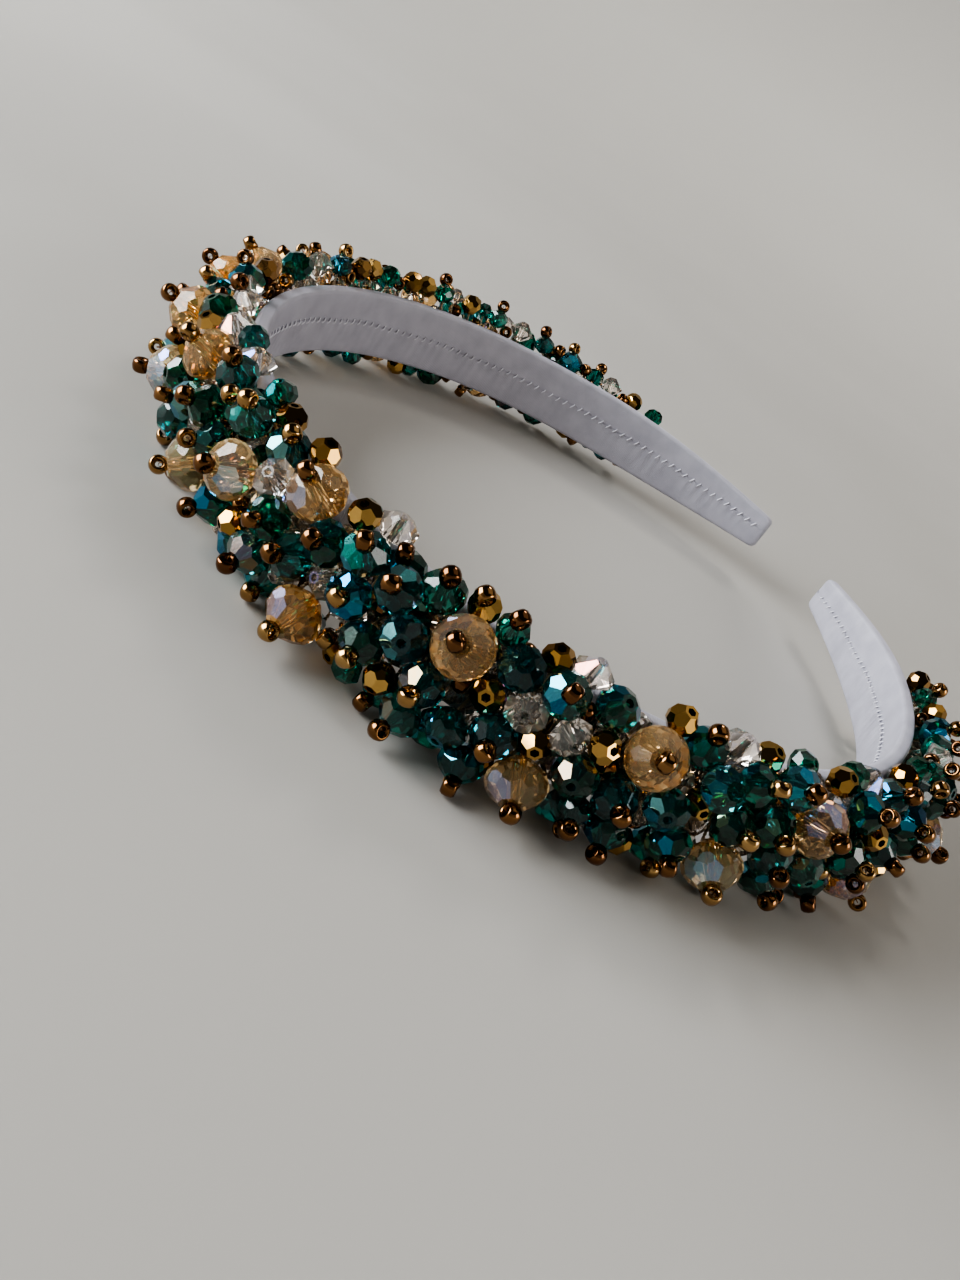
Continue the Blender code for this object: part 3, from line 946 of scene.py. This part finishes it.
def crystal_material(look):
    """Cut glass with a half coating whose pale colour, turned to the light, is partly a painted
    reflection: tone by bead, film and coat by facet.
    """
    material, tree, shader = material_nodes(look.name)
    body = ramp(tree, attribute(tree, "tone"), look.stops)
    # Painted reflection: the coat's pale colour goes on the facets turned to the light
    coat_and_glint_colour = ramp(tree, attribute(tree, "tone"), look.coat_stops)
    coat = attribute(tree, "coat")
    cover = scaled(tree, coat, look.coat_cover)
    least, spread = (look.roughness * share for share in GLASS_ROUGH)
    set_inputs(tree, shader, {
        "Base Color": mixed(tree, cover, body, coat_and_glint_colour),
        "Metallic": scaled(tree, coat, look.coat_metal),
        "Roughness": scaled(tree, noise(tree, GLASS_GRAIN), spread, least),
        "Thin Film Thickness": attribute(tree, "film"),
        "Thin Film IOR": look.film_ior,
        "Transmission Weight": look.transmission,
        "IOR": look.ior,
    })
    return material


def metal_material(look):
    """Plated glass or wire: tone by bead, with small rubbed patches."""
    material, tree, shader = material_nodes(look.name)
    body = ramp(tree, attribute(tree, "tone"), look.stops)
    patches = noise(tree, METAL_GRAIN, detail=4.0)
    worn = scaled(tree, patches, look.wear)
    least = look.roughness * METAL_LEAST_ROUGH
    set_inputs(tree, shader, {
        "Base Color": mixed(tree, worn, body, (*WORN_METAL, 1.0)),
        "Metallic": 1.0,
        "Roughness": scaled(tree, patches, look.roughness, least),
    })
    return material


def bead_materials():
    """The materials of the beads and the wires, by their sort."""
    materials = {sort: crystal_material(look) for sort, look in CRYSTAL_LOOKS.items()}
    for sort, look in METAL_LOOKS.items():
        materials[sort] = metal_material(look)
    return materials


def thread_material():
    """The seam's thread: paler than the ribbon, with a faint twist."""
    material, tree, shader = material_nodes("seam_thread")
    twist = noise(tree, THREAD_GRAIN, detail=1.0)
    set_inputs(tree, shader, {
        "Base Color": ramp(tree, twist, THREAD_STOPS),
        "Roughness": 0.38,
        "Sheen Weight": 0.3,
        "Normal": bump(tree, twist, strength=0.4, distance=0.00004),
    })
    return material


def ribbon_material():
    """Lilac-white satin: fine ribs across the ribbon, threads along it, a soft sheen."""
    material, tree, shader = material_nodes("satin_ribbon")
    where = tree.nodes.new("ShaderNodeUVMap")
    where.uv_map = "ribbon"
    ribs = tree.nodes.new("ShaderNodeTexWave")
    ribs.bands_direction = "X"
    set_inputs(tree, ribs, {
        "Vector": where.outputs["UV"],
        "Scale": SATIN_RIBS,
        "Distortion": 1.2,
        "Detail": 2.0,
    })
    slubs = noise(tree, SATIN_SLUBS, detail=3.0)
    set_inputs(tree, shader, {
        "Base Color": ramp(tree, slubs, SATIN_STOPS),
        "Roughness": scaled(tree, slubs, factor=0.16, plus=0.34),
        "Sheen Weight": 0.35,
        "Sheen Roughness": 0.35,
        "Sheen Tint": (*SATIN_SHEEN, 1.0),
        "Normal": bump(tree, ribs.outputs["Fac"], strength=0.35, distance=0.00008),
    })
    return material


def floor_material():
    """A pale, matt studio floor with a faint mottle, painted paler far away where the lamps light it
    less.
    """
    material, tree, shader = material_nodes("studio_floor")
    near = ramp(tree, noise(tree, FLOOR_MOTTLE), FLOOR_STOPS)
    distance = tree.nodes.new("ShaderNodeVectorMath")
    distance.operation = "LENGTH"
    set_inputs(tree, distance, {0: object_place(tree)})
    # Painted light: the colour turns paler with distance from the middle, where the lamps light the
    # floor less
    painted_light_share = ramp(tree, distance.outputs["Value"], FLOOR_PAINTED_LIGHT_STOPS)
    floor = mixed(tree, painted_light_share, near, (*FLOOR_FAR_PAINTED_LIGHT, 1.0))
    set_inputs(tree, shader, {"Base Color": floor, "Roughness": 0.75})
    return material


def pucker(along):
    """How high the ribbon's edge is drawn up here by its seam, from 0 to 1."""
    drift = PUCKER_DRIFT * math.sin(along * DRIFT_RATE)
    turn = 2 * math.pi * along / PUCKER_PITCH + drift
    fade = (1 - PUCKER_FADE) + PUCKER_FADE * math.sin(along * FADE_RATE)
    return (0.5 + 0.5 * math.sin(turn)) ** 2 * fade


def seam_place(along):
    """How far the overlap's edge wanders from the middle of the band's width."""
    waves = [height * math.sin(along * rate + start) for height, rate, start in OVERLAP_WAVES]
    return sum(waves) - PUCKER_DRAW * pucker(along)


def ribbon_section(along, half_width, half_thickness):
    """(outward, upward) of the ribbon round the band at one place, from the overlap round."""
    corner = min(RIBBON_CORNER, half_thickness * CORNER_LIMIT)
    wander = seam_place(along)
    step = OVERLAP_STEP + PUCKER_HEIGHT * pucker(along)
    points = [(-half_thickness, wander)]
    for share in LOWER_LAYER:
        points.append((-half_thickness, wander + (half_width - corner - wander) * share))
    for start, out, up in CORNERS:
        for i in range(CORNER_POINTS):
            angle = math.radians(start - 90 * i / (CORNER_POINTS - 1))
            points.append((
                out * (half_thickness - corner) + corner * math.cos(angle),
                up * (half_width - corner) + corner * math.sin(angle),
            ))
        if up > 0 and out > 0:
            points += [(half_thickness, (half_width - corner) * share) for share in OUTER_FACE]
    for share, rise in UPPER_LAYER:
        upward = wander - (half_width - corner + wander) * share
        points.append((-half_thickness - step * rise, upward))
    for past, rise in FOLDED_EDGE:
        points.append((-half_thickness - step * rise, wander + past))
    return points


def ribbon_stations():
    """The places of the ribbon's sections, evenly spaced and then crowding to the tips."""
    ends = np.linspace(0, 1, TIP_STATIONS) ** TIP_CROWDING * TIP_LENGTH
    middle = np.linspace(-HALF_LENGTH + TIP_LENGTH, HALF_LENGTH - TIP_LENGTH, RIBBON_STATIONS)
    return np.concatenate([-HALF_LENGTH + ends[:-1], middle, (HALF_LENGTH - ends[:-1])[::-1]])


def ribbon_ring(along):
    """The ribbon's section at this place, rounded off at the tips."""
    to_end = min((HALF_LENGTH - abs(along)) / TIP_ROUNDING, 1.0)
    swell = math.sqrt(max(1 - (1 - to_end) ** 2, 0.0))
    half_width = band_width(along) / 2 - TIP_NARROWING * (1 - swell)
    half_thickness = BAND_FACE * (TIP_THINNEST + (1 - TIP_THINNEST) * swell)
    section = ribbon_section(along, half_width, half_thickness)
    return [place(along, outward, upward) for outward, upward in section]


def lay_weave(ribbon, stations, count):
    """Maps the weave on to the ribbon, in metres along it and round it."""
    layer = ribbon.data.uv_layers.new(name="ribbon")
    for loop in ribbon.data.loops:
        ring, number = divmod(loop.vertex_index, count)
        layer.data[loop.index].uv = (stations[ring], number * BAND_WIDTH * 2 / count)


def build_ribbon(material):
    """The ribbon folded lengthwise round the band, its overlap down the inside."""
    stations = ribbon_stations()
    rings = [ribbon_ring(along) for along in stations]
    count = len(rings[0])
    points = [point for ring in rings for point in ring]
    faces = ring_faces(len(rings), count)
    faces.append(list(range(count)))
    faces.append([len(points) - count + i for i in range(count)][::-1])
    pile = Pile()
    pile.add(points, faces)
    ribbon = pile.make("satin_ribbon_wrap", material, "ribbon", smooth=True)
    lay_weave(ribbon, stations, count)
    ribbon.data.set_sharp_from_angle(angle=math.radians(RIBBON_SHARP_DEGREES))
    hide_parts("band")


def build_stitches(material):
    """Short slanting stitches over the edge of the overlap, all along the inside."""
    pile = Pile()
    furthest = HALF_LENGTH - 2 * TIP_ROUNDING
    count = int(2 * furthest / STITCH_PITCH)
    for number in range(count + 1):
        along = -furthest + 2 * furthest * number / count
        middle = seam_place(along) + STITCH_MIDDLE
        path = []
        for share in STITCH_POINTS:
            inward = BAND_FACE + STITCH_RISE * (1 - share * share)
            upward = middle + STITCH_REACH * share
            path.append(place(along + STITCH_SLANT * share, -inward, upward))
        pile.add(*tube(path, STITCH_RADIUS, STITCH_SIDES))
    pile.make("seam_stitches", material, "ribbon", smooth=True)


def build_windings(side, material):
    """The fine wire wound along the strip that carries the beads."""
    turns = int(BEADED_HALF / WINDING_PITCH)
    middle = BAND_FACE + GAP + STRIP_THICKNESS / 2
    across_power, up_power = WINDING_POWERS
    path = []
    for i in range(turns * WINDING_POINTS):
        angle = 2 * math.pi * i / WINDING_POINTS
        along = side * (GAP + BEADED_HALF * i / (turns * WINDING_POINTS))
        cosine, sine = math.cos(angle), math.sin(angle)
        outward = middle + STRIP_THICKNESS / 2 * math.copysign(abs(cosine) ** across_power, cosine)
        upward = STRIP_HALF_WIDTH * math.copysign(abs(sine) ** up_power, sine)
        path.append(place(along, outward, upward))
    pile = Pile()
    pile.add(*tube(path, WINDING_WIRE, WINDING_SIDES), tone=0.5)
    pile.make("wire_windings_" + SIDE_NAMES[side], material, "wire", smooth=True)


def seed_level(middle):
    """Whether a seed bead stays off the floor and under the top of the fan."""
    return SEED_RADIUS + FLOOR_CLEAR < middle[2] < CAD_BOX[1].z + SEED_RISE - SEED_RADIUS


def tilted_to_fit(centre, axis, half):
    """The bead's axis, laid back from straight up or down until its seed bead has room."""
    for _ in range(TILT_TRIES):
        if seed_level(seed_middle(centre, axis, half)):
            return axis
        axis = unit(axis * np.array([1, 1, TILT_STEP]))
    return axis


def seed_is_free(middle, own, centres, axes, beads):
    """Whether a seed bead keeps out of every bead but its own."""
    away = middle - centres
    distance = np.linalg.norm(away, axis=1)
    room = reach(axes, beads.wide, beads.thick / SUPPORT_SWELL, away / distance[:, None])
    room[own] = 0
    return bool((distance > room + SEED_RADIUS - SEED_BITE).all())


def lift_off_floor(centre, axes, points):
    """How far the bead has to rise for its lowest corner to clear the floor."""
    return max(0.0, FLOOR_CLEAR - (centre + points @ axes)[:, 2].min())


def bead_axis(kind_name, centre, wire, capped, chance):
    """The direction of a bead's hole: its wire's, a little tilted except in a main stone."""
    if kind_name == MAIN_KIND:
        return wire
    axis = unit(wire + chance.normal(size=3) * TILT_SPREAD)
    return tilted_to_fit(centre, axis, KINDS[kind_name].thickness / 2) if capped else axis


def dress_beads(beads, sides, shapes, chance):
    """Puts every bead on its side's piles. Returns the main stones' piles in order."""
    centres = np.array([place(*middle) for middle in beads.middles])
    roots = np.array([place(*foot) for foot in beads.feet])
    wires = (centres - roots) / np.linalg.norm(centres - roots, axis=1, keepdims=True)
    rondelles = []
    for number, kind_name in enumerate(beads.kinds):
        along, centre = beads.middles[number][0], centres[number]
        dressing = sides[1 if along > 0 else -1]
        half = KINDS[kind_name].thickness / 2
        capped = chance.uniform() < KINDS[kind_name].capped
        axis = bead_axis(kind_name, centre, wires[number], capped, chance)
        axes = turned_frame(axis, chance.uniform(0, 2 * math.pi))
        if kind_name in shapes:
            centre = centre + [0, 0, lift_off_floor(centre, axes, shapes[kind_name][0])]
        dressing.put_stem(roots[number], centre, axis, half)
        if kind_name == "chink_seed":
            dressing.put_seed(centre, axis, -SEED_RADIUS)
            continue
        if kind_name == MAIN_KIND:
            pile = Pile()
            rondelles.append((along, pile))
        else:
            pile = dressing.pile(PILES.get(kind_name, kind_name))
        dressing.put_bead(pile, kind_name, centre, axes)
        cap = seed_middle(centre, axis, half)
        if capped and seed_level(cap) and seed_is_free(cap, number, centres, wires, beads):
            dressing.put_seed(centre, axis, half)
    rondelles.sort(key=lambda item: item[0])
    return [pile for _, pile in rondelles]


def build_beads(materials):
    """Every bead of the layout, joined by kind and side, with its seed bead and its wire."""
    beads = bead_layout()
    shapes = {name: cut_crystal(name) for name in CUTS}
    chance = np.random.default_rng(LOOKS_SEED)
    fill_chinks(beads, chance)
    sides = {side: Dressing(shapes, chance) for side in SIDE_NAMES}
    for number, pile in enumerate(dress_beads(beads, sides, shapes, chance), 1):
        piece = pile.make(f"cut_rondelle_{number:02d}", materials["champagne"], "champagne_crystal")
        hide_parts(f"rondelle_{number:02d}")
    for side, dressing in sides.items():
        end = "_" + SIDE_NAMES[side]
        field = dressing.piles["teal"].make("teal_crystals" + end, materials["teal"], "teal_crystal")
        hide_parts("bead_field" + end)
        dressing.piles["gold"].make("gold_beads" + end, materials["gold"], "gold")
        dressing.piles["bicone"].make("clear_bicones" + end, materials["bicone"], "clear_crystal")
        dressing.piles["seed"].make("seed_beads" + end, materials["seed"], "bronze", smooth=True)
        dressing.piles["wire"].make("bead_wires" + end, materials["wire"], "wire", smooth=True)
        build_windings(side, materials["wire"])


def build_camera():
    """The camera, at the photograph's angle."""
    forward = Vector(CAMERA_FORWARD).normalized()
    right = forward.cross(Vector(CAMERA_UP)).normalized()
    up = right.cross(forward)
    data = bpy.data.cameras.new("camera")
    data.lens = CAMERA_LENS_MM
    data.sensor_width = CAMERA_SENSOR_MM
    data.clip_start, data.clip_end = CAMERA_CLIP
    camera = add_object("camera", data)
    turn = Matrix((right, up, -forward)).transposed()
    camera.matrix_world = Matrix.Translation(CAMERA_PLACE) @ turn.to_4x4()
    bpy.context.scene.camera = camera


def area_light(name, direction, distance, size, power, colour):
    """A soft rectangular light that faces the headband from this direction."""
    data = bpy.data.lights.new(name, "AREA")
    data.shape = "RECTANGLE"
    data.size, data.size_y = size
    data.energy = power
    data.color = colour
    light = add_object(name, data)
    towards = Vector(direction).normalized()
    light.location = LIGHTS_MEET + towards * distance
    light.rotation_euler = (-towards).to_track_quat("-Z", "Y").to_euler()


def build_lights():
    """The lights, a faint glow from all round and the look of the view."""
    for name, light in LIGHTS.items():
        area_light(name, *light)
    world = bpy.data.worlds.new("studio")
    world.use_nodes = True
    background = world.node_tree.nodes["Background"]
    background.inputs["Color"].default_value = (*WORLD_COLOUR, 1.0)
    background.inputs["Strength"].default_value = WORLD_STRENGTH
    bpy.context.scene.world = world
    bpy.context.scene.view_settings.look = VIEW_LOOK


def floor_profile():
    """(distance from the middle, height) of the floor, with no edge where it turns up."""
    flat = [(FLOOR_FLAT * i / FLOOR_RINGS, 0.0) for i in range(FLOOR_RINGS + 1)]
    angles = np.linspace(WALL_START, math.pi / 2, WALL_RINGS)
    wall = [(FLOOR_FLAT + WALL_BEND * math.sin(a), WALL_BEND * (1 - math.cos(a))) for a in angles]
    return flat + wall


def build_floor(material):
    """A floor that turns up into a wall all round."""
    profile = floor_profile()
    turns = [2 * math.pi * i / FLOOR_SIDES for i in range(FLOOR_SIDES)]
    points = [(0.0, 0.0, 0.0)]
    for r, z in profile[1:]:
        points += [(r * math.cos(turn), r * math.sin(turn), z) for turn in turns]
    faces = [[0, 1 + i, 1 + (i + 1) % FLOOR_SIDES] for i in range(FLOOR_SIDES)]
    faces += [[1 + i for i in face] for face in ring_faces(len(profile) - 1, FLOOR_SIDES)]
    mesh = bpy.data.meshes.new("studio_floor")
    mesh.from_pydata(points, [], faces)
    mesh.shade_smooth()
    mesh.materials.append(material)
    floor = add_object("studio_floor", mesh)


def main():
    """Builds the scene."""
    materials = bead_materials()
    build_ribbon(ribbon_material())
    build_stitches(thread_material())
    build_beads(materials)
    build_floor(floor_material())
    build_lights()
    build_camera()
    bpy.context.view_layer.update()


main()
